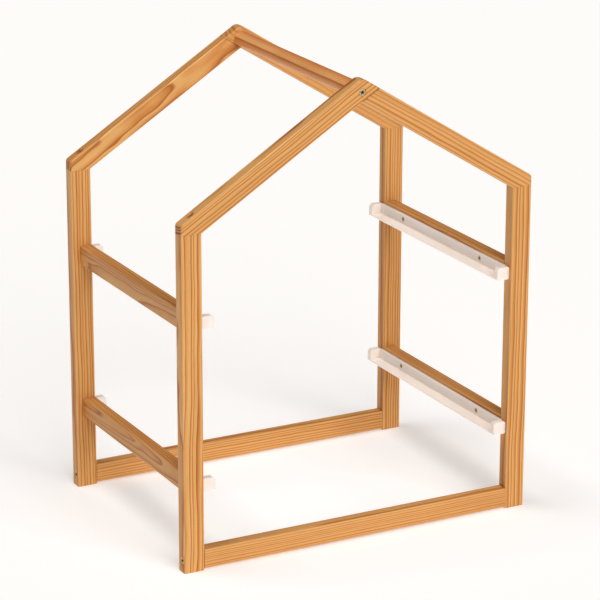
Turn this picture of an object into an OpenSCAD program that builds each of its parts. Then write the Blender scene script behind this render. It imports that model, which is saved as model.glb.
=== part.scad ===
// House-shaped storage frame: two timber gables joined by four side rails and a ridge pole,
// with four plastic runners that carry two storage bins, one above the other.
// Frame: X across a gable, Y front to back, Z up. Origin on the floor, under the middle.

/* [Frame] */
// Width over the outer faces of the posts
frame_w = 480; // [400:1:640]
// Depth over the outer faces of the gables
frame_d = 336; // [260:1:480]
// Height of a post, from the floor to the eave
eave_h = 425; // [390:1:600]
// Slope of the roof in degrees
roof_angle = 32; // [24:0.5:40]

/* [Timber] */
// Width of a post across the gable
post_w = 27; // [24:0.5:40]
// Depth of a rafter, square to its slope
rafter_h = 25; // [23:0.5:34]
// Height of a side rail or a bottom rail
rail_h = 25; // [24:0.5:34]
// Thickness of every timber except the ridge pole
stock_t = 17; // [15:0.5:22]
// Radius of the eased long edges
arris_r = 2; // [1:0.25:4]
// Radius of the rounded corner at each eave
eave_corner_r = 5; // [2:0.5:6]
// Radius of the rounded corner at the apex
apex_corner_r = 9; // [4:0.5:12]
// Diameter of the ridge pole
ridge_d = 20; // [14:0.5:26]
// Height of the ridge pole's axis above the inner corner of the roof
ridge_lift = 12; // [10:0.5:13]

/* [Rails] */
// Height of a bottom rail's underside above the floor
bottom_gap = 2; // [0:0.5:10]
// Height of the lower side rails' underside
lower_rail_z = 96; // [60:1:160]
// Height of the upper side rails' underside
upper_rail_z = 301; // [220:1:340]

/* [Runners] */
// Height of a runner
runner_h = 16; // [14:0.5:20]
// Reach of a runner, from the rail to the edge of its ledge
runner_w = 17; // [12:0.5:24]
// Thickness of a runner's web and ledge
runner_t = 3; // [2.5:0.25:4]
// Thickness of the stop at each end of a runner
stop_t = 9; // [5:0.5:14]
// Distance from a gable's outer face to the end of a runner
runner_inset = 4; // [1:0.5:14]
// Height of a runner's underside above the underside of its rail
runner_lift = 5; // [0:0.5:8]
// Distance from the end of a runner to its nearer screw
runner_screw_inset = 67; // [40:1:100]

/* [Fasteners] */
// Distance from a post's outer face to the screw at the eave
eave_screw_inset = 16; // [10:0.5:17]
// Diameter of the frame screws
frame_screw_d = 4.5; // [3.5:0.25:5]
// Length of the frame screws
frame_screw_l = 55; // [48:1:65]
// Head diameter of the frame screws
frame_head_d = 8.5; // [7:0.5:9.5]
// Diameter of the runner screws
runner_screw_d = 3.5; // [3:0.25:4]
// Length of the runner screws
runner_screw_l = 15; // [10:0.5:16]
// Head diameter of the runner screws
runner_head_d = 6.5; // [6:0.25:7.5]
// Diameter of the dowels
dowel_d = 6; // [5:0.5:7]
// Length of a side rail's dowel
dowel_l = 30; // [24:1:40]
// Depth of a side rail's dowel in the post
dowel_seat = 11; // [8:0.5:12]
// Distance between the two dowels in the end of a side rail
dowel_pitch = 12; // [9:0.5:13]
// Length of the dowel across each apex joint
apex_dowel_l = 22; // [16:1:24]

/* [Hidden] */
$fn = 64;
// How much wider a hole is than the dowel or the screw in it
hole_fit = 0.1;
// Free space past the end of a dowel or a screw
end_gap = 0.5;
// How far a screw's head lies below the face it is sunk in
head_sink = 1;
// How far an eave screw's head lies below the lowest edge of its bore
eave_rim_cover = 0.3;
// Least wood between an apex dowel and the ridge screw beside it
apex_dowel_wall = 4;
// Width and depth of the cross in a screw's head, as shares of the head
cross_w = 0.16;
cross_l = 0.62;
cross_depth = 0.24;
// Length of a screw's point, in diameters
point_l = 1.2;
// Radius in the inside corner of a runner
runner_fillet = 1.5;
// Chamfers of a stop: beside the rail, and on the side where a bin goes in
stop_back_chamfer = 1.8;
stop_front_chamfer = 3;
// Reach of a cutting shape past the face that it cuts
over = 1;

half_w = frame_w / 2;
half_d = frame_d / 2;
inner_x = half_w - post_w;
rail_l = frame_d - 2 * stock_t;
slope_x = cos(roof_angle);
slope_z = sin(roof_angle);
apex_in_z = eave_h + inner_x * tan(roof_angle);
apex_out_z = apex_in_z + rafter_h / slope_x;
eave_top_z = apex_out_z - half_w * tan(roof_angle);
ridge_z = apex_in_z + ridge_lift;
bottom_rail_mid = bottom_gap + rail_h / 2;
runner_l = frame_d - 2 * runner_inset;
runner_web_mid = (runner_t + runner_h) / 2;
// Depth of an eave screw's head below the point where its axis meets the slope
eave_bore_depth = (frame_head_d + hole_fit) / 2 * tan(roof_angle) + eave_rim_cover;
// Place of the dowel along the apex joint, clear of the ridge screw
apex_dowel_s = ridge_lift * slope_z + frame_screw_d / 2 + dowel_d / 2 + apex_dowel_wall;
pine = "#d99a52";
white = "#efe9e0";
brass = "#b9a06a";
beech = "#dcb684";

// ---- shapes that several pieces share ----

// Section of a timber with eased edges, centred
module timber_section(w, t) {
    square([w - 2 * arris_r, t], center = true);
    square([w, t - 2 * arris_r], center = true);
    for (x = [-1, 1], y = [-1, 1])
        translate([x * (w / 2 - arris_r), y * (t / 2 - arris_r)]) circle(arris_r);
}

// Screw along -Z, with the flat of its head at the origin
module wood_screw(d, head_d, length) {
    head_h = (head_d - d) / 2;
    difference() {
        rotate_extrude()
            polygon([
                [0, 0], [head_d / 2, 0], [d / 2, -head_h],
                [d / 2, point_l * d - length], [0, -length]
            ]);
        for (turn = [0, 90])
            rotate(turn)
                translate([-cross_l * head_d / 2, -cross_w * head_d / 2, -cross_depth * head_d])
                    cube([cross_l * head_d, cross_w * head_d, cross_depth * head_d + over]);
    }
}

// Hole for that screw, from a face at the origin, with its head sunk by sink
module screw_hole(d, head_d, length, sink) {
    r = (d + hole_fit) / 2;
    rim = (head_d + hole_fit) / 2 + sink;
    rotate_extrude()
        polygon([
            [0, over], [rim + over, over], [r, r - rim],
            [r, -length - sink - end_gap], [0, -length - sink - end_gap]
        ]);
}

// Straight hole along -Z from the origin
module dowel_hole(depth) {
    translate([0, 0, -depth]) cylinder(d = dowel_d + hole_fit, h = depth + over);
}

// What easing a corner takes off: p is the corner, a and b the directions of its two edges
module corner_waste(p, a, b, r) {
    half = abs(a - b) / 2;
    mid = (a + b) / 2;
    tangent = r / tan(half);
    centre = p + r / sin(half) * [cos(mid), sin(mid)];
    difference() {
        polygon([
            p - over * [cos(mid), sin(mid)],
            p + tangent * [cos(a), sin(a)], centre, p + tangent * [cos(b), sin(b)]
        ]);
        translate(centre) circle(r);
    }
}

// ---- places that several pieces share ----

// Puts children at the middle of a post's foot: side is -1 left or 1 right, gable -1 front or 1 back
module at_post(side, gable) {
    translate([side * (half_w - post_w / 2), gable * (half_d - stock_t / 2), 0]) children();
}

// Puts children where a bottom rail's screw enters the post, with +Z pointing out of the post
module at_bottom_screw(side, gable) {
    translate([side * half_w, gable * (half_d - stock_t / 2), bottom_rail_mid])
        rotate([0, side * 90, 0]) children();
}

// Puts children on a rafter's top, where the eave screw goes down into the post
module at_eave_screw(side, gable) {
    translate([
        side * (half_w - eave_screw_inset), gable * (half_d - stock_t / 2),
        eave_top_z + eave_screw_inset * tan(roof_angle)
    ])
        children();
}

// Puts children where a ridge screw enters its gable, with +Z pointing out of the gable
module at_ridge_screw(gable) {
    translate([0, gable * half_d, ridge_z]) rotate([-gable * 90, 0, 0]) children();
}

// Puts children at each dowel of a side rail's joint, on the post's face, with +Z into the rail
module at_side_dowels(side, gable, rail_z) {
    for (step = [-0.5, 0.5])
        translate([
            side * (inner_x + stock_t / 2), gable * (half_d - stock_t),
            rail_z + rail_h / 2 + step * dowel_pitch
        ])
            rotate([gable * 90, 0, 0]) children();
}

// Puts children at a runner's screws, on the face of its web, with +Z away from the rail
module at_runner_screws(side, rail_z) {
    for (end = [-1, 1])
        translate([
            side * (inner_x - runner_t), end * (runner_l / 2 - runner_screw_inset),
            rail_z + runner_lift + runner_web_mid
        ])
            rotate([0, -side * 90, 0]) children();
}

// Puts children on the apex joint of the front gable, with +Z into the rafter that runs through
module at_apex_dowel() {
    translate([apex_dowel_s * slope_x, -(half_d - stock_t / 2), apex_in_z + apex_dowel_s * slope_z])
        rotate([0, -roof_angle, 0]) children();
}

// ---- gables ----

module post(side, gable) {
    color(pine)
        difference() {
            at_post(side, gable) linear_extrude(eave_h) timber_section(post_w, stock_t);
            at_bottom_screw(side, gable)
                screw_hole(frame_screw_d, frame_head_d, frame_screw_l, head_sink);
            at_eave_screw(side, gable) eave_hole();
            for (rail_z = [lower_rail_z, upper_rail_z])
                at_side_dowels(side, gable, rail_z) dowel_hole(dowel_seat + end_gap);
        }
}

// Counterbored hole that takes an eave screw straight down through the rafter into the post
module eave_hole() {
    translate([0, 0, -eave_bore_depth])
        screw_hole(frame_screw_d, frame_head_d, frame_screw_l, 0);
    translate([0, 0, -eave_bore_depth])
        cylinder(d = frame_head_d + hole_fit, h = eave_bore_depth + rafter_h);
}

module bottom_rail(gable) {
    color(pine)
        difference() {
            translate([-inner_x, gable * (half_d - stock_t / 2), bottom_rail_mid])
                rotate([90, 0, 90]) linear_extrude(2 * inner_x) timber_section(stock_t, rail_h);
            for (side = [-1, 1])
                at_bottom_screw(side, gable)
                    screw_hole(frame_screw_d, frame_head_d, frame_screw_l, head_sink);
        }
}

// The left rafter of the front gable as a long timber, before its ends are cut
module rafter_timber() {
    translate([-inner_x, -(half_d - stock_t / 2), eave_h])
        rotate([0, -roof_angle, 0])
            translate([-frame_w / 4, 0, rafter_h / 2])
                rotate([90, 0, 90]) linear_extrude(frame_w) timber_section(stock_t, rafter_h);
}

// Stands a gable outline, drawn in X and Z, up at the front gable
module gable_slab() {
    translate([0, over - half_d + stock_t, 0])
        rotate([90, 0, 0]) linear_extrude(stock_t + 2 * over) children();
}

// Outline of the left rafter that runs through to the apex
module through_outline() {
    end_s = rafter_h / sin(2 * roof_angle);
    difference() {
        polygon([
            [-half_w, eave_h], [-inner_x, eave_h], [end_s * slope_x, apex_in_z + end_s * slope_z],
            [0, apex_out_z], [-half_w, eave_top_z]
        ]);
        corner_waste([-half_w, eave_top_z], roof_angle, -90, eave_corner_r);
        corner_waste([0, apex_out_z], -roof_angle, roof_angle - 180, apex_corner_r);
    }
}

// Outline of the left rafter that butts against the one that runs through
module butt_outline() {
    end_s = rafter_h / sin(2 * roof_angle);
    difference() {
        polygon([
            [-half_w, eave_h], [-inner_x, eave_h], [0, apex_in_z],
            [-end_s * slope_x, apex_in_z + end_s * slope_z], [-half_w, eave_top_z]
        ]);
        corner_waste([-half_w, eave_top_z], roof_angle, -90, eave_corner_r);
    }
}

// The front gable's left rafter
module through_rafter() {
    color(pine)
        difference() {
            intersection() {
                rafter_timber();
                gable_slab() through_outline();
            }
            at_eave_screw(-1, -1) eave_hole();
            at_ridge_screw(-1) screw_hole(frame_screw_d, frame_head_d, frame_screw_l, head_sink);
            at_apex_dowel() rotate([0, 180, 0]) dowel_hole(apex_dowel_l / 2 + end_gap);
        }
}

// The front gable's right rafter
module butt_rafter() {
    color(pine)
        difference() {
            mirror([1, 0, 0])
                intersection() {
                    rafter_timber();
                    gable_slab() butt_outline();
                }
            at_eave_screw(1, -1) eave_hole();
            at_apex_dowel() dowel_hole(apex_dowel_l / 2 + end_gap);
        }
}

module ridge_pole() {
    color(pine)
        difference() {
            translate([0, rail_l / 2, ridge_z]) rotate([90, 0, 0]) cylinder(d = ridge_d, h = rail_l);
            for (gable = [-1, 1])
                at_ridge_screw(gable)
                    screw_hole(frame_screw_d, frame_head_d, frame_screw_l, head_sink);
        }
}

// ---- sides ----

module side_rail(side, rail_z) {
    color(pine)
        difference() {
            translate([side * (inner_x + stock_t / 2), rail_l / 2, rail_z + rail_h / 2])
                rotate([90, 0, 0]) linear_extrude(rail_l) timber_section(stock_t, rail_h);
            for (gable = [-1, 1])
                at_side_dowels(side, gable, rail_z)
                    rotate([0, 180, 0]) dowel_hole(dowel_l - dowel_seat + end_gap);
            at_runner_screws(side, rail_z)
                screw_hole(runner_screw_d, runner_head_d, runner_screw_l, 0);
        }
}

// Section of a runner, drawn with its back at x = 0 and its ledge towards +x
module runner_section() {
    difference() {
        union() {
            square([runner_t, runner_h]);
            square([runner_w, runner_t]);
            square([runner_t + runner_fillet, runner_t + runner_fillet]);
        }
        translate([runner_t + runner_fillet, runner_t + runner_fillet]) circle(runner_fillet);
    }
}

module stop_section() {
    polygon([
        [stop_back_chamfer, 0], [runner_w, 0], [runner_w, runner_h - stop_front_chamfer],
        [runner_w - stop_front_chamfer, runner_h], [stop_back_chamfer, runner_h],
        [0, runner_h - stop_back_chamfer], [0, stop_back_chamfer]
    ]);
}

module runner(side, rail_z) {
    color(white)
        difference() {
            translate([side * inner_x, runner_l / 2, rail_z + runner_lift])
                mirror([(side + 1) / 2, 0, 0])
                    rotate([90, 0, 0]) {
                        translate([0, 0, stop_t]) linear_extrude(runner_l - 2 * stop_t) runner_section();
                        for (z = [0, runner_l - stop_t])
                            translate([0, 0, z]) linear_extrude(stop_t) stop_section();
                    }
            at_runner_screws(side, rail_z)
                screw_hole(runner_screw_d, runner_head_d, runner_screw_l, 0);
        }
}

// ---- fasteners ----

module bottom_rail_screws() {
    color(brass)
        for (side = [-1, 1], gable = [-1, 1])
            at_bottom_screw(side, gable)
                translate([0, 0, -head_sink]) wood_screw(frame_screw_d, frame_head_d, frame_screw_l);
}

module eave_screws() {
    color(brass)
        for (side = [-1, 1], gable = [-1, 1])
            at_eave_screw(side, gable)
                translate([0, 0, -eave_bore_depth])
                    wood_screw(frame_screw_d, frame_head_d, frame_screw_l);
}

module ridge_screws() {
    color(brass)
        for (gable = [-1, 1])
            at_ridge_screw(gable)
                translate([0, 0, -head_sink]) wood_screw(frame_screw_d, frame_head_d, frame_screw_l);
}

module runner_screws() {
    color(brass)
        for (side = [-1, 1], rail_z = [lower_rail_z, upper_rail_z])
            at_runner_screws(side, rail_z)
                wood_screw(runner_screw_d, runner_head_d, runner_screw_l);
}

module side_rail_dowels() {
    color(beech)
        for (side = [-1, 1], gable = [-1, 1], rail_z = [lower_rail_z, upper_rail_z])
            at_side_dowels(side, gable, rail_z)
                translate([0, 0, -dowel_seat]) cylinder(d = dowel_d, h = dowel_l);
}

module apex_dowels() {
    color(beech)
        for (turn = [0, 180])
            rotate(turn)
                at_apex_dowel()
                    translate([0, 0, -apex_dowel_l / 2]) cylinder(d = dowel_d, h = apex_dowel_l);
}

// ---- nodes ----

module front_left_post() { post(-1, -1); }
module front_right_post() { post(1, -1); }
module back_left_post() { post(-1, 1); }
module back_right_post() { post(1, 1); }
module front_bottom_rail() { bottom_rail(-1); }
module back_bottom_rail() { bottom_rail(1); }
module front_left_rafter() { through_rafter(); }
module front_right_rafter() { butt_rafter(); }
module back_left_rafter() { rotate(180) butt_rafter(); }
module back_right_rafter() { rotate(180) through_rafter(); }
module left_upper_rail() { side_rail(-1, upper_rail_z); }
module left_lower_rail() { side_rail(-1, lower_rail_z); }
module right_upper_rail() { side_rail(1, upper_rail_z); }
module right_lower_rail() { side_rail(1, lower_rail_z); }
module left_upper_runner() { runner(-1, upper_rail_z); }
module left_lower_runner() { runner(-1, lower_rail_z); }
module right_upper_runner() { runner(1, upper_rail_z); }
module right_lower_runner() { runner(1, lower_rail_z); }

front_left_post();
front_right_post();
back_left_post();
back_right_post();
front_bottom_rail();
back_bottom_rail();
front_left_rafter();
front_right_rafter();
back_left_rafter();
back_right_rafter();
ridge_pole();
left_upper_rail();
left_lower_rail();
right_upper_rail();
right_lower_rail();
left_upper_runner();
left_lower_runner();
right_upper_runner();
right_lower_runner();
bottom_rail_screws();
eave_screws();
ridge_screws();
runner_screws();
side_rail_dowels();
apex_dowels();
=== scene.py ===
# %% [markdown]
# # A house-shaped rack in lacquered pine, for two slide-in bins
#
# The real rack is fifteen planed pine sticks, screwed and dowelled into a little house, with four
# white plastic runners inside it. This lesson builds what the eye sees of it, in metres, round a
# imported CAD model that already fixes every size. Each stick is made here as a joiner makes it:
# a bar is cut to length, its corners are eased, its screw holes are countersunk, and then it is
# given its own grain. That way no two sticks look like copies of each other.

import math

import bpy
from mathutils import Euler, Matrix, Vector


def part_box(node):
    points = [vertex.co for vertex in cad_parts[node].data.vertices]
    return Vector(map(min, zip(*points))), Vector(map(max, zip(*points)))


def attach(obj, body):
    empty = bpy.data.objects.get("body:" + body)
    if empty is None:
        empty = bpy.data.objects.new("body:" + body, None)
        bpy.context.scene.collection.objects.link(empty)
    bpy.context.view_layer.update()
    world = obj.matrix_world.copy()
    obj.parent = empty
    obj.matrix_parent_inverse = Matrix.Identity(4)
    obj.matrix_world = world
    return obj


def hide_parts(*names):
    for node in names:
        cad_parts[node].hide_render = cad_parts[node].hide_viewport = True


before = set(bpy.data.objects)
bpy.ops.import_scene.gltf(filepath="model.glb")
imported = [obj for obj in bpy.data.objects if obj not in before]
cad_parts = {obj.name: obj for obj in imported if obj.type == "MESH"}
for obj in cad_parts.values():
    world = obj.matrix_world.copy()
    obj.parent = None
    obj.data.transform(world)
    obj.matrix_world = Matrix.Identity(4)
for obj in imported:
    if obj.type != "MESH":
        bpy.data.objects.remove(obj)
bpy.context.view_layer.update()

# %% [markdown]
# ## Sizes
#
# The places of the sticks come from the boxes of the CAD nodes. Only what a box can't say is
# written here: the roof's slope, how round the edges are, and the screws.

# %% Sizes in metres
MM = 0.001
HALF_WIDTH = 240 * MM
HALF_DEPTH = 168 * MM
INNER_X = 213 * MM
STOCK = 17 * MM
EAVE_Z = 425 * MM
ROOF = math.radians(32)
RAFTER_HIGH = 25 * MM
RIDGE_Z = 570.1 * MM
EDGE_ROUND = 2 * MM
EAVE_ROUND = 5 * MM
APEX_ROUND = 9 * MM
SEAM_EASE = 0.2 * MM
SLACK = 0.05 * MM
SIDES = {"left": -1, "right": 1}
GABLES = {"front": -1, "back": 1}

APEX_IN = Vector((0, 0, EAVE_Z + INNER_X * math.tan(ROOF)))
APEX_OUT = APEX_IN + Vector((0, 0, RAFTER_HIGH / math.cos(ROOF)))
EAVE_TOP_Z = APEX_OUT.z - HALF_WIDTH * math.tan(ROOF)
print("apex", round(APEX_OUT.z, 4), "eave corner", round(EAVE_TOP_Z, 4))

# %% [markdown]
# ## The camera
#
# A long lens from well back keeps the uprights nearly parallel. The camera stands to the left of
# the rack and a little above it, so that the front gable, the left side and the tops all show.

# %% Camera
camera_data = bpy.data.cameras.new("camera")
camera = bpy.data.objects.new("camera", camera_data)
bpy.context.scene.collection.objects.link(camera)
camera_data.sensor_width = 36
camera_data.lens = 174.19
camera.location = (-1.6252, -3.0855, 1.4051)
camera.rotation_euler = [math.radians(turn) for turn in (71.871, -0.098, -27.822)]
bpy.context.scene.camera = camera
print("camera at", [round(c, 3) for c in camera.location])

# %% [markdown]
# ## Floor and light
#
# A product like this is shown on a white sweep. The floor is a wide pale sheet, so no horizon
# comes into a view from above, and it glows a little, as a lit sweep does, which keeps shadows
# faint and fills the undersides.

# %% Floor
bpy.ops.object.select_all(action="DESELECT")
bpy.ops.mesh.primitive_circle_add(vertices=64, radius=30, fill_type="NGON")
floor = bpy.context.object
floor.name = "floor"
floor_paint = bpy.data.materials.new("pale_floor")
floor_paint.use_nodes = True
floor_shader = floor_paint.node_tree.nodes["Principled BSDF"]
floor_shader.inputs["Base Color"].default_value = (0.80, 0.80, 0.80, 1)
floor_shader.inputs["Roughness"].default_value = 0.9
floor_shader.inputs["Specular IOR Level"].default_value = 0.1
floor_shader.inputs["Emission Color"].default_value = (1.0, 0.99, 0.98, 1)
floor_shader.inputs["Emission Strength"].default_value = 0.33
floor.data.materials.append(floor_paint)
print("floor is", [round(c, 1) for c in floor.dimensions], "metres")

# %% [markdown]
# Area lamps would light the floor unevenly, and would have to be large and close. A sun lamp with
# a huge disc is the same as a big soft box far away, and it lights everything alike. The main one
# is in front, so that the front faces are brightest and the left ones a shade deeper. A smaller
# one overhead lifts the tops of the rafters and the ridge pole, and a weak warm sky does the rest.

# %% Lights
def wide_lamp(name, comes_from, strength, disc, tint):
    """A far soft box: a sun lamp whose disc is many degrees wide."""
    lamp_data = bpy.data.lights.new(name, "SUN")
    lamp_data.energy = strength
    lamp_data.angle = math.radians(disc)
    lamp_data.color = tint
    lamp = bpy.data.objects.new(name, lamp_data)
    bpy.context.scene.collection.objects.link(lamp)
    lamp.rotation_euler = (-Vector(comes_from)).to_track_quat("-Z", "Y").to_euler()
    print(name, "comes from", comes_from, "strength", strength)


wide_lamp("main_light", (0.03, -0.80, 0.60), 2.25, 48, (1.0, 0.985, 0.965))
wide_lamp("top_light", (-0.25, 0.10, 1.0), 1.0, 20, (1.0, 0.96, 0.94))
world = bpy.data.worlds.new("studio")
world.use_nodes = True
world.node_tree.nodes["Background"].inputs["Color"].default_value = (1.0, 0.95, 0.90, 1)
world.node_tree.nodes["Background"].inputs["Strength"].default_value = 0.10
bpy.context.scene.world = world
bpy.context.scene.view_settings.view_transform = "Standard"

# %% [markdown]
# ## Tools of the bench
#
# A few helpers do what a hand does in Blender: select only one piece, pick edges or faces by where
# they lie, and apply a modifier. Picking by place keeps the lesson safe when a size changes.

# %% Selecting
def select_only(piece):
    bpy.ops.object.select_all(action="DESELECT")
    bpy.context.view_layer.objects.active = piece
    piece.select_set(True)


def start_editing(piece, pick_faces=False):
    select_only(piece)
    bpy.context.tool_settings.mesh_select_mode = (False, not pick_faces, pick_faces)
    bpy.ops.object.mode_set(mode="EDIT")


def stop_editing():
    bpy.ops.object.mode_set(mode="OBJECT")


def pick_edges(piece, wanted):
    """Goes into edit mode with only the edges whose two ends pass the test selected."""
    mesh = piece.data
    for parts in (mesh.vertices, mesh.edges, mesh.polygons):
        parts.foreach_set("select", [False] * len(parts))
    count = 0
    for edge in mesh.edges:
        ends = [mesh.vertices[i] for i in edge.vertices]
        if wanted(ends[0].co, ends[1].co):
            edge.select = ends[0].select = ends[1].select = True
            count += 1
    start_editing(piece)
    return count


def pick_faces(piece, wanted):
    """Goes into edit mode with only the faces whose middle and normal pass the test selected."""
    mesh = piece.data
    for parts in (mesh.vertices, mesh.edges, mesh.polygons):
        parts.foreach_set("select", [False] * len(parts))
    count = 0
    for face in mesh.polygons:
        if wanted(face.center, face.normal):
            face.select = True
            count += 1
    start_editing(piece, pick_faces=True)
    return count


# %% [markdown]
# Every piece is finished in the same way: its modifiers are applied, its place goes into its mesh,
# its sharp edges are eased, and its shading is evened so that planed faces look flat.

# %% Finishing tools
def apply_modifier(piece, kind, **settings):
    select_only(piece)
    modifier = piece.modifiers.new(kind.lower(), kind)
    for name, value in settings.items():
        setattr(modifier, name, value)
    bpy.ops.object.modifier_apply(modifier=modifier.name)


def settle(piece):
    """Puts a piece's place, turn and size into its mesh."""
    select_only(piece)
    bpy.ops.object.transform_apply(location=True, rotation=True, scale=True)


def even_shading(piece, angle=32):
    """Smooth over the rounds and flat on the planed faces."""
    select_only(piece)
    bpy.ops.object.shade_smooth_by_angle(angle=math.radians(angle))
    apply_modifier(piece, "WEIGHTED_NORMAL", keep_sharp=True, weight=60)


def ease_sharp_edges(piece, width, segments=2, sharper_than=40):
    """A small round on every edge that is still sharp."""
    start_editing(piece)
    bpy.ops.mesh.select_all(action="DESELECT")
    bpy.ops.mesh.edges_select_sharp(sharpness=math.radians(sharper_than))
    bpy.ops.mesh.bevel(offset=width, segments=segments, profile=0.5, affect="EDGES")
    stop_editing()


def hand_in(piece, slot, *nodes):
    """The piece rides on the rack and stands for its CAD nodes."""
    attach(piece, "root")
    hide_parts(*nodes)
    print(piece.name, len(piece.data.polygons), "faces")


# %% [markdown]
# ## Turned pieces
#
# Screws, the holes for them and the ridge pole are round. Each starts as a filled circle, and is
# extruded ring by ring to a new radius and depth, as a turner works down a blank. One recipe
# then serves a screw and the cutter that drills its hole.

# %% Turning
def turned(name, rings, sides=40):
    """A closed turned piece round Z; rings are (radius, height) from the top down."""
    bpy.ops.object.select_all(action="DESELECT")
    radius, height = rings[0]
    bpy.ops.mesh.primitive_circle_add(
        vertices=sides, radius=radius, fill_type="NGON", location=(0, 0, height)
    )
    piece = bpy.context.object
    piece.name = piece.data.name = name
    settle(piece)
    start_editing(piece, pick_faces=True)
    bpy.ops.mesh.select_all(action="SELECT")
    for next_radius, next_height in rings[1:]:
        step = (0, 0, next_height - height)
        bpy.ops.mesh.extrude_region_move(TRANSFORM_OT_translate={"value": step})
        grow = next_radius / radius
        bpy.ops.transform.resize(value=(grow, grow, 1), center_override=(0, 0, next_height))
        radius, height = next_radius, next_height
    bpy.ops.mesh.select_all(action="SELECT")
    bpy.ops.mesh.normals_make_consistent(inside=False)
    stop_editing()
    return piece


def placed_copy(piece, name, spot):
    """A copy with its own mesh, moved by a matrix."""
    select_only(piece)
    bpy.ops.object.duplicate()
    copy = bpy.context.object
    copy.name = copy.data.name = name
    copy.matrix_world = spot
    settle(copy)
    return copy


def throw_away(*pieces):
    for piece in pieces:
        select_only(piece)
        bpy.ops.object.delete()


# %% [markdown]
# ## Screws
#
# The rack is held by countersunk steel screws with a cross recess. The head is a flat disc over a
# cone, with a small round at its rim, and the thread is a ridge round the shank. The cross is cut
# with two crossed wedges that narrow downwards, which is the shape of the driver's tip.

# %% Model one screw of each size
def cross_cutter(head):
    """Two crossed wedges, narrower at the bottom."""
    long_way = 0.62 * head
    narrow_way = 0.2 * head
    deep = 0.26 * head
    taper = (0.45, 0.6, 1)
    blades = []
    for turn in (0, 90):
        bpy.ops.object.select_all(action="DESELECT")
        bpy.ops.mesh.primitive_cube_add(
            size=1, location=(0, 0, -deep / 2 + SLACK), scale=(long_way, narrow_way, deep)
        )
        blade = bpy.context.object
        settle(blade)
        pick_faces(blade, lambda middle, normal: normal.z < -0.9)
        bpy.ops.transform.resize(value=taper, center_override=(0, 0, -deep))
        stop_editing()
        blade.rotation_euler.z = math.radians(turn)
        settle(blade)
        blades.append(blade)
    return blades


def mark_recess(screw, head):
    """The faces inside the cross take the second finish, which is dark with grease and shade."""
    reach = 0.33 * head
    for face in screw.data.polygons:
        off_axis = Vector((face.center.x, face.center.y)).length
        inside = -0.3 * head < face.center.z < -SLACK / 2 and off_axis < reach
        faces_in = face.normal.z > -0.01
        face.material_index = 1 if inside and faces_in else 0


def wood_screw(name, thread, head, length, pitch):
    cone = (head - thread) / 2
    core = 0.68 * thread / 2
    rim = 0.12 * MM
    neck = 0.3 * length
    rings = [
        (head / 2 - 2 * rim, 0), (head / 2 - rim, -0.2 * rim), (head / 2 - 0.2 * rim, -rim),
        (head / 2 - 0.6 * rim, -2 * rim), (thread / 2 * 0.86, -cone), (thread / 2 * 0.82, -neck)
    ]
    height = -neck
    bottom = -length + thread * 1.2
    while height - pitch > bottom:
        rings += [
            (core, height - 0.35 * pitch), (core, height - 0.6 * pitch),
            (thread / 2, height - 0.78 * pitch), (thread / 2, height - 0.84 * pitch),
            (core, height - pitch)
        ]
        height -= pitch
    rings += [(core, bottom), (0.25 * core, -length + 0.3 * MM), (0.05 * core, -length)]
    screw = turned(name, rings, sides=32)
    blank_finishes(screw)
    for blade in cross_cutter(head):
        apply_modifier(screw, "BOOLEAN", operation="DIFFERENCE", object=blade, solver="EXACT")
        throw_away(blade)
    even_shading(screw, 25)
    mark_recess(screw, head)
    print(name, len(screw.data.polygons), "faces")
    return screw


def blank_finishes(screw):
    """Two empty slots, filled later with the plating and the recess."""
    for name in ("plating", "recess"):
        screw.data.materials.append(bpy.data.materials.get(name) or bpy.data.materials.new(name))


FRAME_SCREW = {"thread": 4.5 * MM, "head": 8.5 * MM, "length": 55 * MM}
RUNNER_SCREW = {"thread": 3.5 * MM, "head": 6.5 * MM, "length": 15 * MM}
frame_screw = wood_screw("frame_screw_model", pitch=2.0 * MM, **FRAME_SCREW)
runner_screw = wood_screw("runner_screw_model", pitch=1.3 * MM, **RUNNER_SCREW)

# %% [markdown]
# The holes follow from the screws: a bore with a 45 degree countersink. A screw that is driven a
# little below the wood leaves a ring of bare countersink round its head, which reads as a dark
# rim, so the sink is part of the cutter.

# %% Hole cutters
HOLE_FIT = 0.1 * MM
SINK = 1 * MM
BORE_OVER = 6 * MM
EAVE_BORE = 2.99 * MM


def hole_cutter(name, thread, head, length, sink):
    bore = (thread + HOLE_FIT) / 2
    mouth = (head + HOLE_FIT) / 2 + sink
    return turned(name, [
        (mouth + SLACK, SLACK), (bore, bore - mouth), (bore, -length - sink)
    ])


sunk_hole = hole_cutter("sunk_hole", sink=SINK, **FRAME_SCREW)
runner_hole = hole_cutter("runner_hole", sink=0, **RUNNER_SCREW)
eave_mouth = (FRAME_SCREW["head"] + HOLE_FIT) / 2
eave_bore = (FRAME_SCREW["thread"] + HOLE_FIT) / 2
eave_hole = turned("eave_hole", [
    (eave_mouth, BORE_OVER), (eave_mouth, -EAVE_BORE),
    (eave_bore, -EAVE_BORE - (eave_mouth - eave_bore)),
    (eave_bore, -EAVE_BORE - FRAME_SCREW["length"])
])
print("eave bore", round(2 * eave_mouth / MM, 2), "mm wide at its mouth")

# %% [markdown]
# The holes and the screws need the same places, so each place is worked out once, by a function
# that takes a side and a gable. A matrix then holds the place, the screw's direction and how far
# its cross is spun.

# %% Where the screws go
BOTTOM_SCREW_Z = 14.5 * MM
EAVE_SCREW_INSET = 16 * MM
GABLE_Y = HALF_DEPTH - STOCK / 2


def pose(place, turn_x=0, turn_y=0, spin=0):
    """A place, with the screw's own axis (down its -Z) turned, and the cross spun."""
    tilt = Euler((math.radians(turn_x), math.radians(turn_y), 0)).to_matrix().to_4x4()
    return Matrix.Translation(place) @ tilt @ Matrix.Rotation(math.radians(spin), 4, "Z")


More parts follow.
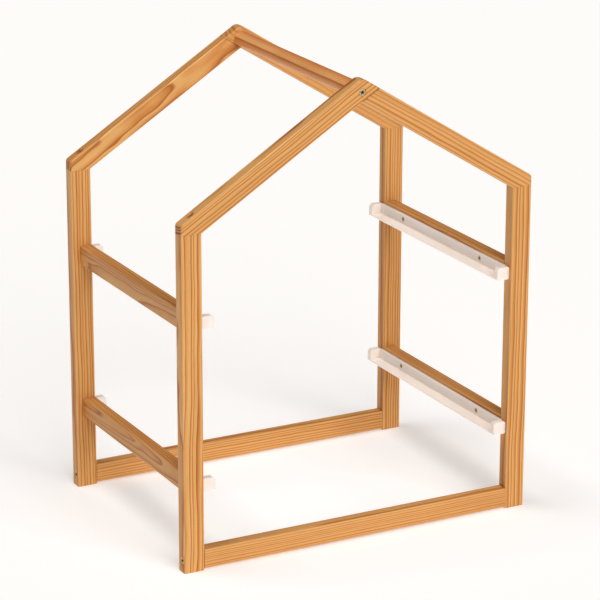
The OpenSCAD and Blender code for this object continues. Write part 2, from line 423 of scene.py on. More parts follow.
def bottom_spot(side, gable):
    return Vector((side * HALF_WIDTH, gable * GABLE_Y, BOTTOM_SCREW_Z))


def eave_spot(side, gable):
    x = HALF_WIDTH - EAVE_SCREW_INSET
    return Vector((side * x, gable * GABLE_Y, EAVE_TOP_Z + EAVE_SCREW_INSET * math.tan(ROOF)))


def ridge_spot(gable):
    return Vector((0, gable * HALF_DEPTH, RIDGE_Z))


# %% [markdown]
# ## Cutting the holes
#
# A Boolean modifier takes a posed copy of the cutter away from the wood. It is the surest way to
# put a round hole into a flat face, and the rim it leaves is crisp, as a countersink bit leaves it.

# %% Drilling
def drill(piece, cutter, spot):
    bit = placed_copy(cutter, "bit", spot)
    apply_modifier(piece, "BOOLEAN", operation="DIFFERENCE", object=bit, solver="EXACT")
    throw_away(bit)


# %% [markdown]
# ## Straight sticks
#
# Posts and rails are planed bars. The bar is a cube at the size and place of its CAD node; its four
# long edges get a 2 mm round in five steps, and the rest a hair's breadth, because two sharp
# edges that meet make no visible seam, and two eased ones do.

# %% Bars
def bar(name, low, high):
    bpy.ops.object.select_all(action="DESELECT")
    low, high = Vector(low), Vector(high)
    bpy.ops.mesh.primitive_cube_add(size=1, location=(low + high) / 2, scale=high - low)
    piece = bpy.context.object
    piece.name = piece.data.name = name
    settle(piece)
    return piece


def round_edges_along(piece, direction, radius=EDGE_ROUND, steps=5):
    direction = Vector(direction)
    count = pick_edges(piece, lambda a, b: abs((b - a).normalized().dot(direction)) > 0.999)
    bpy.ops.mesh.bevel(offset=radius, segments=steps, profile=0.5, affect="EDGES")
    stop_editing()
    return count


def straight_stick(name, node, along):
    low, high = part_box(node)
    piece = bar(name, low, high)
    round_edges_along(piece, along)
    ease_sharp_edges(piece, SEAM_EASE)
    return piece


# %% [markdown]
# The four posts stand square-cut under the rafters. Each takes a screw from the side, which holds
# the bottom rail, and one from above, through the rafter.

# %% Posts
X, Y, Z = Vector((1, 0, 0)), Vector((0, 1, 0)), Vector((0, 0, 1))
sticks = {}
for gable_name, gable in GABLES.items():
    for side_name, side in SIDES.items():
        name = f"{gable_name}_{side_name}_post"
        post = straight_stick(name + "_stick", name, Z)
        drill(post, sunk_hole, pose(bottom_spot(side, gable), turn_y=side * 90))
        drill(post, eave_hole, pose(eave_spot(side, gable)))
        even_shading(post)
        sticks[name] = post
print(len(sticks), "posts")

# %% [markdown]
# A bottom rail ties two posts near the floor. Its screws come through the posts, so it is drilled
# with the same cutters from the same spots, and the two holes line up by themselves.

# %% Bottom rails
for gable_name, gable in GABLES.items():
    name = f"{gable_name}_bottom_rail"
    rail = straight_stick(name + "_stick", name, X)
    for side in SIDES.values():
        drill(rail, sunk_hole, pose(bottom_spot(side, gable), turn_y=side * 90))
    even_shading(rail)
    sticks[name] = rail

# %% [markdown]
# A side rail runs from gable to gable and carries a runner on its inner face. Only the two runner
# screws are drilled here, because its end joints are blind dowels.

# %% Side rails
RUNNER_SCREW_X = 210 * MM
RUNNER_SCREW_Y = 97 * MM
RUNNER_SCREW_RISE = 14.5 * MM


def runner_screw_pose(side, rail_low_z, end, spin=0):
    spot = Vector((side * RUNNER_SCREW_X, end * RUNNER_SCREW_Y, rail_low_z + RUNNER_SCREW_RISE))
    return pose(spot, turn_y=-side * 90, spin=spin)


for side_name, side in SIDES.items():
    for level in ("lower", "upper"):
        name = f"{side_name}_{level}_rail"
        rail = straight_stick(name + "_stick", name, Y)
        for end in (-1, 1):
            drill(rail, runner_hole, runner_screw_pose(side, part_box(name)[0].z, end))
        even_shading(rail)
        sticks[name] = rail
print(len(sticks), "sticks so far")

# %% [markdown]
# ## Rafters
#
# On each gable one rafter runs through to the apex and the other butts against it. A rafter starts
# as a straight bar laid on the slope, and the mitres are made with Bisect, which is a saw: a plane
# through a point, with the off-cut thrown away and the cut filled.

# %% Sawing
def saw(piece, through, away):
    """Cuts at a plane and drops what lies on the side that it points away to."""
    start_editing(piece)
    bpy.ops.mesh.select_all(action="SELECT")
    bpy.ops.mesh.bisect(
        plane_co=through, plane_no=away, use_fill=True, clear_inner=False, clear_outer=True
    )
    stop_editing()


def roof_normal(side):
    """Square to the slope on one side of the roof, pointing up and out."""
    return Vector((side * math.sin(ROOF), 0, math.cos(ROOF)))


RAFTER_BAR = 360 * MM
RAFTER_MIDDLE = 125 * MM


def rafter(name, side, gable, runs_through):
    y = gable * GABLE_Y
    up_slope = Vector((-side * math.cos(ROOF), 0, math.sin(ROOF)))
    foot = Vector((side * INNER_X, y, EAVE_Z))
    middle = foot + up_slope * RAFTER_MIDDLE + roof_normal(side) * RAFTER_HIGH / 2
    bpy.ops.object.select_all(action="DESELECT")
    bpy.ops.mesh.primitive_cube_add(
        size=1, location=middle, rotation=(0, side * ROOF, 0), scale=(RAFTER_BAR, STOCK, RAFTER_HIGH)
    )
    piece = bpy.context.object
    piece.name = piece.data.name = name
    settle(piece)
    saw(piece, foot, -Z)
    saw(piece, (side * HALF_WIDTH, 0, 0), side * X)
    if runs_through:
        saw(piece, APEX_OUT, roof_normal(-side))
    else:
        saw(piece, APEX_IN, roof_normal(-side))
    round_rafter(piece, side, runs_through)
    return piece


def round_rafter(piece, side, runs_through):
    """The outer corners get a big round, then the outline's edges the small one."""
    corners = [(Vector((side * HALF_WIDTH, 0, EAVE_TOP_Z)), EAVE_ROUND, math.pi / 2 + ROOF)]
    if runs_through:
        corners.append((APEX_OUT, APEX_ROUND, math.pi - 2 * ROOF))
    for corner, radius, opening in corners:

        def at_the_corner(a, b, corner=corner):
            across = abs((b - a).normalized().y) > 0.999
            return across and (Vector((a.x, 0, a.z)) - corner).length < SLACK

        pick_edges(piece, at_the_corner)
        reach = radius / math.tan(opening / 2)
        bpy.ops.mesh.bevel(offset=reach, segments=8, profile=0.5, affect="EDGES")
        stop_editing()

    def on_the_outline(a, b):
        if abs(b.y - a.y) > SLACK:
            return False
        at_the_foot = max(a.z, b.z) < EAVE_Z + SLACK
        cut = (a - APEX_IN).dot(roof_normal(-side)), (b - APEX_IN).dot(roof_normal(-side))
        at_the_butt = not runs_through and min(cut) > -SLACK
        return not at_the_foot and not at_the_butt

    pick_edges(piece, on_the_outline)
    bpy.ops.mesh.bevel(offset=EDGE_ROUND, segments=5, profile=0.5, affect="EDGES")
    stop_editing()
    ease_sharp_edges(piece, SEAM_EASE)


# %% [markdown]
# The left rafter runs through on the front gable, and the right one on the back gable, so that the
# two gables are one assembly turned half round. Each rafter has the eave screw's bore. The ridge
# screw's cutter is offered to both, and reaches only the one that runs through.

# %% Make the four rafters
for gable_name, gable in GABLES.items():
    for side_name, side in SIDES.items():
        name = f"{gable_name}_{side_name}_rafter"
        stick = rafter(name + "_stick", side, gable, runs_through=side == gable)
        drill(stick, eave_hole, pose(eave_spot(side, gable)))
        drill(stick, sunk_hole, pose(ridge_spot(gable), turn_x=-gable * 90))
        even_shading(stick)
        sticks[name] = stick
        low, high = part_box(name)
        print(name, [round(c, 4) for c in low], [round(c, 4) for c in high])

# %% [markdown]
# ## Ridge pole
#
# A round pole joins the two gables at the top. It is turned with a slight chamfer at each end,
# and bored for the screws that hold it.

# %% Ridge pole
low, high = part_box("ridge_pole")
pole_radius = (high.z - low.z) / 2
pole_half = (high.y - low.y) / 2
pole = turned("ridge_pole_stick", [
    (pole_radius - SEAM_EASE, pole_half), (pole_radius, pole_half - SEAM_EASE),
    (pole_radius, 0), (pole_radius, -pole_half + SEAM_EASE), (pole_radius - SEAM_EASE, -pole_half)
], sides=72)
pole.rotation_euler.x = math.radians(90)
pole.location = (0, 0, RIDGE_Z)
settle(pole)
for gable in GABLES.values():
    drill(pole, sunk_hole, pose(ridge_spot(gable), turn_x=-gable * 90))
even_shading(pole)
sticks["ridge_pole"] = pole

# %% [markdown]
# ## Runners
#
# Each bin slides in a moulded runner: a thin web that is screwed to the rail, a ledge for the
# bin's rim, and a solid stop at each end. It could be extruded from its section, but the stops
# would then be separate lumps. A mould is two blocks, and so is the model: an outer bar with three
# chamfered edges, less a core with rounded corners. The web is then put back square between the
# stops, because the chamfers belong to the stops only.

# %% Runner sizes
RUNNER_WIDE = 17 * MM
RUNNER_WALL = 3 * MM
RUNNER_LIFT = 5 * MM
STOP_LONG = 9 * MM
BACK_CHAMFER = 1.8 * MM
FRONT_CHAMFER = 3 * MM
FILLET = 0.6 * MM
MOULD_EDGE = 0.18 * MM


def chamfer_at(piece, x, z, width):
    def wanted(a, b):
        along = abs((b - a).normalized().y) > 0.999
        return along and abs(a.x - x) < SLACK and abs(a.z - z) < SLACK

    pick_edges(piece, wanted)
    bpy.ops.mesh.bevel(offset=width, segments=1, affect="EDGES")
    stop_editing()


# %% [markdown]
# The core leaves a small fillet in the inside corners, as a mould must, and every outer edge gets a
# hair's breadth of round, because no moulded edge is truly sharp.

# %% Mould the runners
def runner(name, node, side):
    low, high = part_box(node)
    wall_x = side * INNER_X
    lip_x = side * (INNER_X - RUNNER_WIDE)
    outer = bar(name, low, high)
    chamfer_at(outer, wall_x, low.z, BACK_CHAMFER)
    chamfer_at(outer, wall_x, high.z, BACK_CHAMFER)
    chamfer_at(outer, lip_x, high.z, FRONT_CHAMFER)
    web_x = side * (INNER_X - RUNNER_WALL)
    beyond = lip_x - side * RUNNER_WALL
    core_y = high.y - STOP_LONG
    core = bar(
        "core",
        (min(web_x, beyond), -core_y, low.z + RUNNER_WALL),
        (max(web_x, beyond), core_y, high.z + RUNNER_WALL),
    )

    def inside_corner(a, b):
        at_web = abs(a.x - web_x) < SLACK and abs(b.x - web_x) < SLACK
        at_ledge = max(a.z, b.z) < low.z + RUNNER_WALL + SLACK
        along = abs((b - a).normalized().y) > 0.999
        return (at_web and at_ledge) or ((at_web or at_ledge) and not along)

    pick_edges(core, inside_corner)
    bpy.ops.mesh.bevel(offset=FILLET, segments=4, profile=0.5, affect="EDGES")
    stop_editing()
    apply_modifier(outer, "BOOLEAN", operation="DIFFERENCE", object=core, solver="EXACT")
    web = bar(
        "web",
        (min(web_x, wall_x), -core_y, low.z),
        (max(web_x, wall_x), core_y, high.z),
    )
    apply_modifier(outer, "BOOLEAN", operation="UNION", object=web, solver="EXACT")
    throw_away(core, web)
    ease_sharp_edges(outer, MOULD_EDGE, segments=2, sharper_than=35)
    for end in (-1, 1):
        drill(outer, runner_hole, runner_screw_pose(side, low.z - RUNNER_LIFT, end))
    even_shading(outer)
    return outer


runners = {}
for side_name, side in SIDES.items():
    for level in ("lower", "upper"):
        name = f"{side_name}_{level}_runner"
        runners[name] = runner(name + "_moulding", name, side)
print(len(runners), "runners")

# %% [markdown]
# ## Setting the screws
#
# Copies of the two modelled screws go to the same poses as the cutters, a millimetre lower where
# the hole is sunk. Every cross points its own way, because each was driven by hand. The copies of
# one kind are joined, so that one piece stands for one node of the frame.

# %% Place and join
def set_of_screws(name, model, spots):
    copies = [placed_copy(model, f"{name}_{i}", spot) for i, spot in enumerate(spots)]
    bpy.ops.object.select_all(action="DESELECT")
    for copy in copies:
        copy.select_set(True)
    bpy.context.view_layer.objects.active = copies[0]
    bpy.ops.object.join()
    joined = bpy.context.object
    joined.name = joined.data.name = name
    return joined


def sunk(place, outward, **turns):
    return pose(place - Vector(outward) * SINK, **turns)


spins = [8, 51, 77, 24, 63, 35, 12, 84]
bottom_poses = []
eave_poses = []
for gable in GABLES.values():
    for side in SIDES.values():
        spin = spins[len(bottom_poses)]
        bottom_poses.append(
            sunk(bottom_spot(side, gable), side * X, turn_y=side * 90, spin=spin)
        )
        eave_poses.append(pose(eave_spot(side, gable) - EAVE_BORE * Z, spin=spin + 20))
ridge_poses = [
    sunk(ridge_spot(gable), gable * Y, turn_x=-gable * 90, spin=15 + 40 * gable)
    for gable in GABLES.values()
]
runner_poses = []
for side_name, side in SIDES.items():
    for level in ("lower", "upper"):
        low_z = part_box(f"{side_name}_{level}_rail")[0].z
        for end in (-1, 1):
            runner_poses.append(
                runner_screw_pose(side, low_z, end, spin=spins[len(runner_poses) % len(spins)])
            )
print(len(bottom_poses + eave_poses + ridge_poses + runner_poses), "screws to set")
screws = {
    "bottom_rail_screws": set_of_screws("bottom_rail_screws_steel", frame_screw, bottom_poses),
    "eave_screws": set_of_screws("eave_screws_steel", frame_screw, eave_poses),
    "ridge_screws": set_of_screws("ridge_screws_steel", frame_screw, ridge_poses),
    "runner_screws": set_of_screws("runner_screws_steel", runner_screw, runner_poses),
}
throw_away(frame_screw, runner_screw, sunk_hole, runner_hole, eave_hole)

# %% [markdown]
# ## Building finishes
#
# Materials are networks of nodes. Two helpers keep them readable: one adds a node and joins its
# inputs, and one does arithmetic. Anything that is the same all over a surface is set on the
# shader's own socket.

# %% Node helpers
def new_finish(name):
    finish = bpy.data.materials.new(name)
    finish.use_nodes = True
    tree = finish.node_tree
    return finish, tree, tree.nodes["Principled BSDF"]


def add(tree, kind, settings=None, **inputs):
    made = tree.nodes.new("ShaderNode" + kind)
    for name, value in (settings or {}).items():
        setattr(made, name, value)
    for name, value in inputs.items():
        plug(tree, value, made.inputs[name.replace("_", " ")])
    return made


def plug(tree, value, socket):
    if isinstance(value, bpy.types.NodeSocket):
        tree.links.new(value, socket)
    else:
        socket.default_value = value


def sums(tree, operation, *values):
    """One Math node; values are numbers or sockets."""
    made = add(tree, "Math", {"operation": operation})
    for value, socket in zip(values, made.inputs):
        plug(tree, value, socket)
    return made.outputs[0]


def vector_sums(tree, operation, *values):
    """One Vector Math node, given back whole, because its answer may be a vector or a value."""
    made = add(tree, "VectorMath", {"operation": operation})
    for value, socket in zip(values, made.inputs):
        plug(tree, value, socket)
    return made


def noise_at(tree, vector, grain, detail=2.0, rough=0.5, shift=0.0):
    """Noise whose blotches have the given sizes, in metres, along X, Y and Z."""
    scaled = add(
        tree, "Mapping", {"vector_type": "POINT"}, Vector=vector,
        Scale=[1 / size for size in grain], Location=(shift, 2.3 * shift, 3.1 * shift)
    )
    return add(
        tree, "TexNoise", Vector=scaled.outputs[0], Scale=1.0, Detail=detail, Roughness=rough
    )


def spread(tree, value, low, high, to_low, to_high, smooth=False):
    settings = {"interpolation_type": "SMOOTHSTEP"} if smooth else {"clamp": True}
    made = add(tree, "MapRange", settings)
    for socket, number in zip(made.inputs, (value, low, high, to_low, to_high)):
        plug(tree, number, socket)
    return made.outputs[0]


def blend_colour(tree, kind, share, under, over):
    made = add(tree, "Mix", {"data_type": "RGBA", "blend_type": kind})
    plug(tree, share, made.inputs[0])
    plug(tree, under, made.inputs[6])
    plug(tree, over, made.inputs[7])
    return made.outputs[2]


def colour_steps(tree, value, steps):
    made = add(tree, "ValToRGB", Fac=value)
    ramp = made.color_ramp
    while len(ramp.elements) < len(steps):
        ramp.elements.new(1.0)
    for element, (place, colour) in zip(ramp.elements, steps):
        element.position = place
        element.color = (*colour, 1)
    return made.outputs[0]


# %% [markdown]
# ## Lacquered pine
#
# Pine shows its growth rings: pale early wood, and a thin amber line of late wood that starts
# softly and ends sharply. A picture of boards could be laid on the faces, but it would tear at the
# edges and miss the end grain. So the rings are made in space, as distance from a line that was
# the tree's heart. A stick cut far from the heart then shows straight lines on one face and a
# broad flame figure on the next, and its end grain comes out right by itself.
#
# The first step is a frame for each stick, with Z along the grain, made by a Mapping node.

# %% A frame inside the stick
def stick_axes(grain, wide):
    """The turn whose Z is the grain and whose X is the stick's wide way."""
    z = Vector(grain).normalized()
    x = Vector(wide).normalized()
    y = z.cross(x)
    return Matrix((x, y, z)).transposed().to_euler()


def inside_the_stick(tree, middle, grain, wide):
    return add(
        tree, "Mapping", {"vector_type": "TEXTURE"},
        Vector=add(tree, "TexCoord").outputs["Object"],
        Location=middle, Rotation=stick_axes(grain, wide)
    ).outputs[0]


# %% [markdown]
# ## Counting the rings
#
# Each point of a stick lies some number of rings out from the heart. The trunk sways, so a slow
# noise pushes the point sideways first. Good years and lean years come from a second noise, which
# stretches the count and never the shape, so every ring stays closed.

# %% Years from the heart
SWAY_BLOTCH = (0.028, 0.028, 0.11)
UNEVEN_YEARS = 1.5
YEARS_PACE = 0.43


def years_from_heart(tree, inside, heart, lean, ring, sway, seed):
    wander = noise_at(tree, inside, SWAY_BLOTCH, 2.0, 0.5, seed).outputs["Color"]
    centred = vector_sums(tree, "SUBTRACT", wander, (0.5, 0.5, 0.5)).outputs["Vector"]
    pushed = vector_sums(tree, "MULTIPLY_ADD", centred, (sway, sway, 0), inside).outputs["Vector"]
    trunk = add(
        tree, "Mapping", {"vector_type": "TEXTURE"}, Vector=pushed,
        Location=(heart[0] * MM, heart[1] * MM, 0),
        Rotation=(math.radians(lean[0]), math.radians(lean[1]), 0)
    ).outputs[0]
    flat = vector_sums(tree, "MULTIPLY", trunk, (1, 1, 0)).outputs["Vector"]
    from_heart = vector_sums(tree, "LENGTH", flat).outputs["Value"]
    years = sums(tree, "DIVIDE", from_heart, ring * MM)
    uneven = add(tree, "TexNoise", {"noise_dimensions": "1D"}, Scale=YEARS_PACE, Detail=1.0)
    plug(tree, sums(tree, "ADD", years, seed * 7.7), uneven.inputs["W"])
    return sums(tree, "ADD", years, sums(tree, "MULTIPLY", uneven.outputs[0], UNEVEN_YEARS))


# %% [markdown]
# ## Colour of the wood
#
# The part of a ring that a point lies in gives its colour, from early wood to late wood. No two
# years are equally strong, so each year draws its own strength. Over the rings come slow drifts of
# tone, the fibres, and a few resin flecks, because planed pine is never one clean colour.

# %% Rings, drifts, fibres and flecks
EARLY = (0.74, 0.405, 0.140)
EARLY_WARM = (0.67, 0.310, 0.092)
LATE_SOFT = (0.54, 0.195, 0.042)
LATE_DARK = (0.36, 0.105, 0.018)
FLECK = (0.33, 0.12, 0.03, 1)
CLEAR = (1.0, 1.0, 1.0)
WEAKEST_YEAR = 0.72
DRIFT_BLOTCH = (0.022, 0.022, 0.19)
FIBRE_BLOTCH = (0.0011, 0.0011, 0.034)
FLECK_BLOTCH = (0.0007, 0.0007, 0.009)


def ring_colour(tree, years, season, depth):
    year_kind = add(tree, "TexWhiteNoise", {"noise_dimensions": "1D"})
    plug(tree, sums(tree, "FLOOR", years), year_kind.inputs["W"])
    rings = colour_steps(tree, season, [
        (0.0, EARLY), (0.28, EARLY), (0.55, EARLY_WARM), (0.75, LATE_SOFT),
        (0.86, LATE_DARK), (0.93, LATE_SOFT), (1.0, EARLY)
    ])
    strength = spread(tree, year_kind.outputs["Value"], 0, 1, WEAKEST_YEAR * depth, depth)
    return blend_colour(tree, "MIX", strength, (*EARLY_WARM, 1), rings)


def wood_marks(tree, colour, inside, fibre, tone, seed):
    drift = noise_at(tree, inside, DRIFT_BLOTCH, 2.0, 0.5, seed + 5).outputs[0]
    drift_tint = colour_steps(tree, drift, [(0.30, (0.88, 0.83, 0.78)), (0.52, CLEAR), (0.74, CLEAR)])
    colour = blend_colour(tree, "MULTIPLY", 0.8, colour, drift_tint)
    fibre_tint = colour_steps(tree, fibre, [(0.30, (0.86, 0.82, 0.77)), (0.50, CLEAR), (0.72, CLEAR)])
    colour = blend_colour(tree, "MULTIPLY", 0.75, colour, fibre_tint)
    fleck = noise_at(tree, inside, FLECK_BLOTCH, 1.0, 0.5, seed + 13).outputs[0]
    colour = blend_colour(tree, "MIX", spread(tree, fleck, 0.71, 0.78, 0.0, 0.45), colour, FLECK)
    return blend_colour(tree, "MULTIPLY", 1.0, colour, (*tone, 1))


# %% [markdown]
# ## Edges and ends
#
# The rounded edges are paler, partly because sanding thins the stain there and partly as a painted
# highlight along them. End grain drinks more lacquer and goes darker, and its late wood darker still.
# The edges are found by place in the stick's own frame, and the ends by comparing the surface's
# direction with the grain.

# %% Paler rounds and darker ends
EDGE_WEAR_AND_HIGHLIGHT_WIDTH = 1.9 * MM
# The edge colour is sanded wear together with a painted highlight on the rounds.
WORN_AND_HIGHLIGHT = (0.86, 0.50, 0.20, 1)
END_TINT = (0.80, 0.70, 0.60, 1)
END_LINE = (0.17, 0.055, 0.012, 1)
END_TINT_SHARE = 0.85
END_LINE_SHARE = 0.95


def paler_rounds(tree, colour, inside, half_x, half_y):
    across = add(tree, "SeparateXYZ", Vector=inside)
    off_x = sums(tree, "ABSOLUTE", across.outputs[0])
    off_y = sums(tree, "ABSOLUTE", across.outputs[1])
    near_x = spread(tree, off_x, half_x - EDGE_WEAR_AND_HIGHLIGHT_WIDTH, half_x, 0, 1)
    near_y = spread(tree, off_y, half_y - EDGE_WEAR_AND_HIGHLIGHT_WIDTH, half_y, 0, 1)
    # The paler colour on the rounds is partly sanding wear and partly a painted highlight.
    worn_and_highlight = sums(tree, "MULTIPLY", sums(tree, "MULTIPLY", near_x, near_y), 0.9)
    return blend_colour(tree, "MIX", worn_and_highlight, colour, WORN_AND_HIGHLIGHT)


def how_much_end(tree, grain):
    """1 on end grain and 0 along the stick."""
    normal = add(tree, "NewGeometry").outputs["Normal"]
    facing = vector_sums(tree, "DOT_PRODUCT", normal, Vector(grain).normalized()).outputs["Value"]
    return spread(tree, sums(tree, "ABSOLUTE", facing), 0.50, 0.80, 0, 1)


def darker_ends(tree, colour, end_grain, late, depth):
    tint = sums(tree, "MULTIPLY", end_grain, END_TINT_SHARE * depth**2)
    colour = blend_colour(tree, "MULTIPLY", tint, colour, END_TINT)
    late_ends = sums(tree, "MULTIPLY", end_grain, late)
    lines = sums(tree, "MULTIPLY", late_ends, END_LINE_SHARE * depth**2)
    return blend_colour(tree, "MIX", lines, colour, END_LINE)


# %% [markdown]
# ## Satin lacquer
#
# The lacquer is satin, not glass: the fibres lift it a little, and the late wood stands proud after
# sanding because it is harder. Two Bump nodes in a row give the hand-sanded waviness and the fine
# relief without adding a single face.

# %% Lacquer
HAND_BLOTCH = (0.012, 0.012, 0.07)


def satin_lacquer(tree, shader, inside, fibre, late, end_grain, seed):
    gloss = spread(tree, fibre, 0.3, 0.7, 0.33, 0.47)
    plug(tree, sums(tree, "MULTIPLY_ADD", end_grain, 0.18, gloss), shader.inputs["Roughness"])
    relief = sums(tree, "MULTIPLY_ADD", late, 0.5, sums(tree, "MULTIPLY", fibre, 0.9))
    hand = noise_at(tree, inside, HAND_BLOTCH, 1.0, 0.5, seed + 21).outputs[0]
    soft_bump = add(tree, "Bump", Strength=0.35, Distance=0.5 * MM, Height=hand)
    bump = add(
        tree, "Bump", Strength=0.3, Distance=0.09 * MM, Height=relief, Normal=soft_bump.outputs[0]
    )
    plug(tree, bump.outputs[0], shader.inputs["Normal"])
    shader.inputs["Specular IOR Level"].default_value = 0.14
    shader.inputs["Coat Weight"].default_value = 0.08
    shader.inputs["Coat Roughness"].default_value = 0.22


# %% [markdown]
# The recipe joins the steps in the order of the work: rings first, then marks, then the paler edges,
# which are wear with a painted highlight, and dark ends, and the lacquer last. One function makes the
# finish of every stick, so that all of them stay the same kind of wood.

# %% The whole recipe
def pine(name, middle, half_x, half_y, board, seed):
    grain, wide, heart, lean, ring, sway, depth, tone = board
    finish, tree, shader = new_finish(name)
    inside = inside_the_stick(tree, middle, grain, wide)
    years = years_from_heart(tree, inside, heart, lean, ring, sway, seed)
    season = sums(tree, "FRACT", years)
    late = spread(tree, season, 0.45, 0.85, 0, 1, smooth=True)
    fibre = noise_at(tree, inside, FIBRE_BLOTCH, 3.0, 0.6, seed + 9).outputs[0]
    end_grain = how_much_end(tree, grain)
    colour = ring_colour(tree, years, season, depth)
    colour = wood_marks(tree, colour, inside, fibre, tone, seed)
    colour = paler_rounds(tree, colour, inside, half_x, half_y)
    colour = darker_ends(tree, colour, end_grain, late, depth)
    plug(tree, colour, shader.inputs["Base Color"])
    satin_lacquer(tree, shader, inside, fibre, late, end_grain, seed)
    return finish


# %% [markdown]
# ## One board for each stick
#
# If every stick had the same board, the eye would see copies. The figure of each one is written
# down as a sawyer would describe it: the way of the grain, the stick's wide way, where the heart
# lay and how far the trunk leaned, how wide the rings are in millimetres, how much they sway, how
# strong the late wood is, and the tone of the stain.

# %% Describe the boards
HONEY = (1.0, 1.0, 1.0)
PALE = (1.0, 1.0, 1.02)
RUDDY = (0.96, 0.91, 0.86)
# This tone makes the ridge pole's stain lighter and pinker; part of it is a painted sheen, the
# pinkish highlight the pole catches from the light above.
ROSY_WITH_SHEEN = (1.24, 1.15, 1.24)
UP_LEFT = Vector((math.cos(ROOF), 0, math.sin(ROOF)))
UP_RIGHT = Vector((-math.cos(ROOF), 0, math.sin(ROOF)))
BOARDS = {
    # stick: grain, wide way, heart, lean, ring, sway, depth, tone
    "front_left_post": (Z, X, (70, 14), (0.2, 0.7), 5.2, 9 * MM, 1.0, HONEY),
    "front_right_post": (Z, X, (-64, 9), (0.1, 0.4), 4.8, 5 * MM, 0.95, HONEY),
    "back_left_post": (Z, X, (82, -12), (0.2, -0.4), 4.2, 5 * MM, 1.0, HONEY),
    "back_right_post": (Z, X, (-75, -20), (0.1, 0.3), 4.0, 4 * MM, 0.95, HONEY),
    "front_bottom_rail": (X, Z, (-60, 12), (0.1, 0.1), 2.8, 2.5 * MM, 0.72, PALE),
    "back_bottom_rail": (X, Z, (55, -10), (0.1, -0.4), 3.4, 5 * MM, 0.8, HONEY),
    "left_lower_rail": (Y, Z, (7, -24), (-1.9, 0.9), 3.7, 9 * MM, 0.88, RUDDY),
    "left_upper_rail": (Y, Z, (-9, -28), (1.3, 0.9), 3.7, 8 * MM, 0.88, RUDDY),
    "right_lower_rail": (Y, Z, (14, 44), (0.5, 0.5), 3.2, 4 * MM, 0.9, RUDDY),
    "right_upper_rail": (Y, Z, (-10, 46), (0.5, -0.4), 3.2, 4 * MM, 0.9, RUDDY),
    "front_left_rafter": (UP_LEFT, Y, (6, 72), (0.3, 0.2), 4.4, 5 * MM, 1.0, HONEY),
    "front_right_rafter": (UP_RIGHT, Y, (-10, 80), (-0.3, 0.2), 5.0, 5 * MM, 0.75, HONEY),
    "back_left_rafter": (UP_LEFT, Y, (24, 8), (0.9, 1.9), 5.4, 12 * MM, 0.95, HONEY),
    "back_right_rafter": (UP_RIGHT, Y, (18, 66), (0.4, 0.3), 5.6, 5 * MM, 0.5, HONEY),
    "ridge_pole": (Y, X, (-48.5, 37.5), (0.1, 0.1), 11.0, 2 * MM, 1.0, ROSY_WITH_SHEEN),
}
print(len(BOARDS), "boards described")

# %% [markdown]
# A stick's pattern starts from its own middle. For the straight ones that is the middle of the CAD
# node's box. A rafter lies on the slope, so its middle is measured up the slope from its foot.

# %% Finish every stick
POST_HALF = 13.5 * MM
RAIL_HALF = 12.5 * MM
NO_EDGE = 30 * MM


def middle_and_halves(name):
    """Where a stick's pattern starts, and how far its faces are from there."""
    low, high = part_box(name)
    middle = (low + high) / 2
    if "rafter" in name:
        gable_name, side_name, _ = name.split("_")
        side = SIDES[side_name]
        foot = Vector((side * INNER_X, GABLES[gable_name] * GABLE_Y, EAVE_Z))
        up_slope = BOARDS[name][0]
        middle = foot + roof_normal(side) * RAFTER_HIGH / 2 + up_slope * RAFTER_MIDDLE
        return middle, STOCK / 2, RAFTER_HIGH / 2
    if name == "ridge_pole":
        return middle, NO_EDGE, NO_EDGE
    return middle, POST_HALF if "post" in name else RAIL_HALF, STOCK / 2


for number, (name, stick) in enumerate(sticks.items()):
    middle, half_x, half_y = middle_and_halves(name)
    wood = pine("pine_of_" + name, middle, half_x, half_y, BOARDS[name], seed=number * 1.37 + 0.4)
    stick.data.materials.clear()
    stick.data.materials.append(wood)
    hand_in(stick, "lacquered_pine", name)

# %% [markdown]
# ## Runner plastic
#
# The runners are natural white polypropylene: slightly warm, a little waxy, and thin enough for
# light to creep through the web. Subsurface scattering gives the wax, and a trace of glow stands
# for the light from behind. A very fine bump gives the moulded skin, and faint streaks along the
# ledge are where the bins have slid.

# %% Plastic
def runner_plastic():
    finish, tree, shader = new_finish("runner_white")
    place = add(tree, "TexCoord").outputs["Object"]
    cloud = noise_at(tree, place, (0.02, 0.05, 0.02), 3.0, 0.55, 1.0).outputs[0]
    colour = colour_steps(tree, cloud, [(0.3, (0.73, 0.67, 0.62)), (0.7, (0.77, 0.71, 0.66))])
    rub = noise_at(tree, place, (0.0012, 0.09, 0.0012), 2.0, 0.6, 4.0).outputs[0]
    rub_mask = spread(tree, rub, 0.60, 0.74, 0.0, 0.16)
    colour = blend_colour(tree, "MIX", rub_mask, colour, (0.60, 0.56, 0.51, 1))
    plug(tree, colour, shader.inputs["Base Color"])
    plug(tree, spread(tree, rub, 0.3, 0.75, 0.34, 0.52), shader.inputs["Roughness"])
    skin = noise_at(tree, place, (0.0009, 0.0009, 0.0009), 2.0, 0.5, 2.0).outputs[0]
    bump = add(tree, "Bump", Strength=0.25, Distance=0.05 * MM, Height=skin)
    plug(tree, bump.outputs[0], shader.inputs["Normal"])
    shader.inputs["Subsurface Weight"].default_value = 0.9
    shader.inputs["Subsurface Radius"].default_value = (1.0, 0.9, 0.8)
    shader.inputs["Subsurface Scale"].default_value = 0.010
    shader.inputs["IOR"].default_value = 1.49
    shader.inputs["Emission Color"].default_value = (1.0, 0.83, 0.73, 1)
    shader.inputs["Emission Strength"].default_value = 0.15
    return finish


white = runner_plastic()
for name, moulding in runners.items():
    moulding.data.materials.clear()
    moulding.data.materials.append(white)
    hand_in(moulding, "runner_plastic", name)

# %% [markdown]
# ## Zinc-plated steel
#
# The screws are plated a soft yellow. The plating is never even, so its tint drifts, and the
# turning marks on it make the roughness vary.

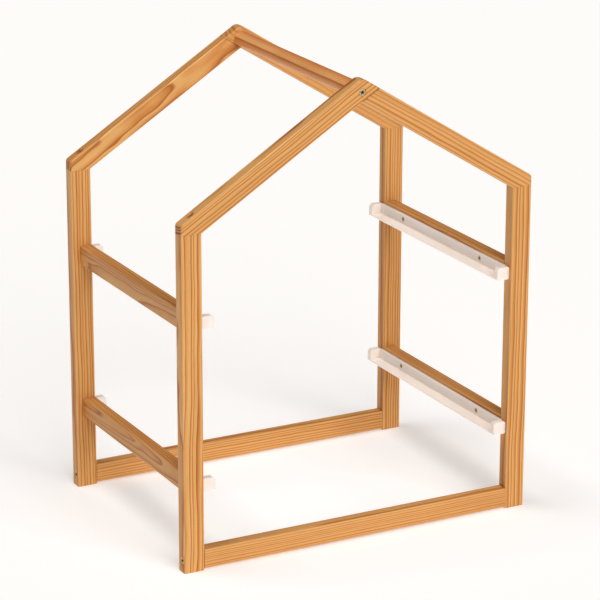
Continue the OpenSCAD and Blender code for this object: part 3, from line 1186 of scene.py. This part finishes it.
# %% Steel
def plated_steel():
    finish, tree, shader = new_finish("screw_zinc")
    place = add(tree, "TexCoord").outputs["Object"]
    patch = noise_at(tree, place, (0.003, 0.003, 0.003), 3.0, 0.6, 3.0).outputs[0]
    colour = colour_steps(tree, patch, [
        (0.30, (0.40, 0.29, 0.15)), (0.55, (0.60, 0.47, 0.27)), (0.75, (0.74, 0.64, 0.46))
    ])
    plug(tree, colour, shader.inputs["Base Color"])
    marks = noise_at(tree, place, (0.0004, 0.0004, 0.0004), 2.0, 0.6, 6.0).outputs[0]
    plug(tree, spread(tree, marks, 0.3, 0.7, 0.24, 0.48), shader.inputs["Roughness"])
    bump = add(tree, "Bump", Strength=0.2, Distance=0.03 * MM, Height=marks)
    plug(tree, bump.outputs[0], shader.inputs["Normal"])
    shader.inputs["Metallic"].default_value = 1.0
    return finish


# %% [markdown]
# The cross catches grease and dust and lies in its own shade, so it gets a second, nearly black
# finish. A screw looks flat without it.

# %% Recess
def recess_dark():
    finish, tree, shader = new_finish("screw_recess")
    place = add(tree, "TexCoord").outputs["Object"]
    grime_and_shade = noise_at(tree, place, (0.0008, 0.0008, 0.0008), 2.0, 0.5, 7.0).outputs[0]
    # The near-black colour is painted shade inside the cross, together with some grime.
    colour = colour_steps(tree, grime_and_shade, [(0.35, (0.02, 0.014, 0.008)), (0.7, (0.07, 0.05, 0.03))])
    plug(tree, colour, shader.inputs["Base Color"])
    plug(tree, spread(tree, grime_and_shade, 0.3, 0.7, 0.5, 0.8), shader.inputs["Roughness"])
    shader.inputs["Metallic"].default_value = 0.6
    return finish


steel = plated_steel()
recess = recess_dark()
for name, group in screws.items():
    for place, metal in zip(group.material_slots, (steel, recess)):
        place.material = metal
    hand_in(group, "screw_steel", name)

# %% [markdown]
# ## Beech dowels
#
# The dowels sit unseen inside the joints. Their CAD shape is right, so the nodes stay and only
# get a better finish: pale beech, with the short dark rays that mark this wood.

# %% Beech
def beech():
    finish, tree, shader = new_finish("dowel_wood")
    place = add(tree, "TexCoord").outputs["Object"]
    tone = noise_at(tree, place, (0.003, 0.012, 0.003), 2.0, 0.5, 5.0).outputs[0]
    colour = colour_steps(tree, tone, [(0.3, (0.58, 0.37, 0.21)), (0.7, (0.70, 0.49, 0.31))])
    ray = noise_at(tree, place, (0.0003, 0.0025, 0.0006), 1.0, 0.5, 8.0).outputs[0]
    ray_mask = spread(tree, ray, 0.64, 0.72, 0.0, 0.6)
    colour = blend_colour(tree, "MIX", ray_mask, colour, (0.33, 0.18, 0.09, 1))
    plug(tree, colour, shader.inputs["Base Color"])
    plug(tree, spread(tree, tone, 0.3, 0.7, 0.55, 0.7), shader.inputs["Roughness"])
    bump = add(tree, "Bump", Strength=0.3, Distance=0.05 * MM, Height=ray)
    plug(tree, bump.outputs[0], shader.inputs["Normal"])
    return finish


dowel_wood = beech()
for name in ("side_rail_dowels", "apex_dowels"):
    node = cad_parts[name]
    for place in node.material_slots:
        place.material = dowel_wood
    print(name, "keeps its CAD shape")
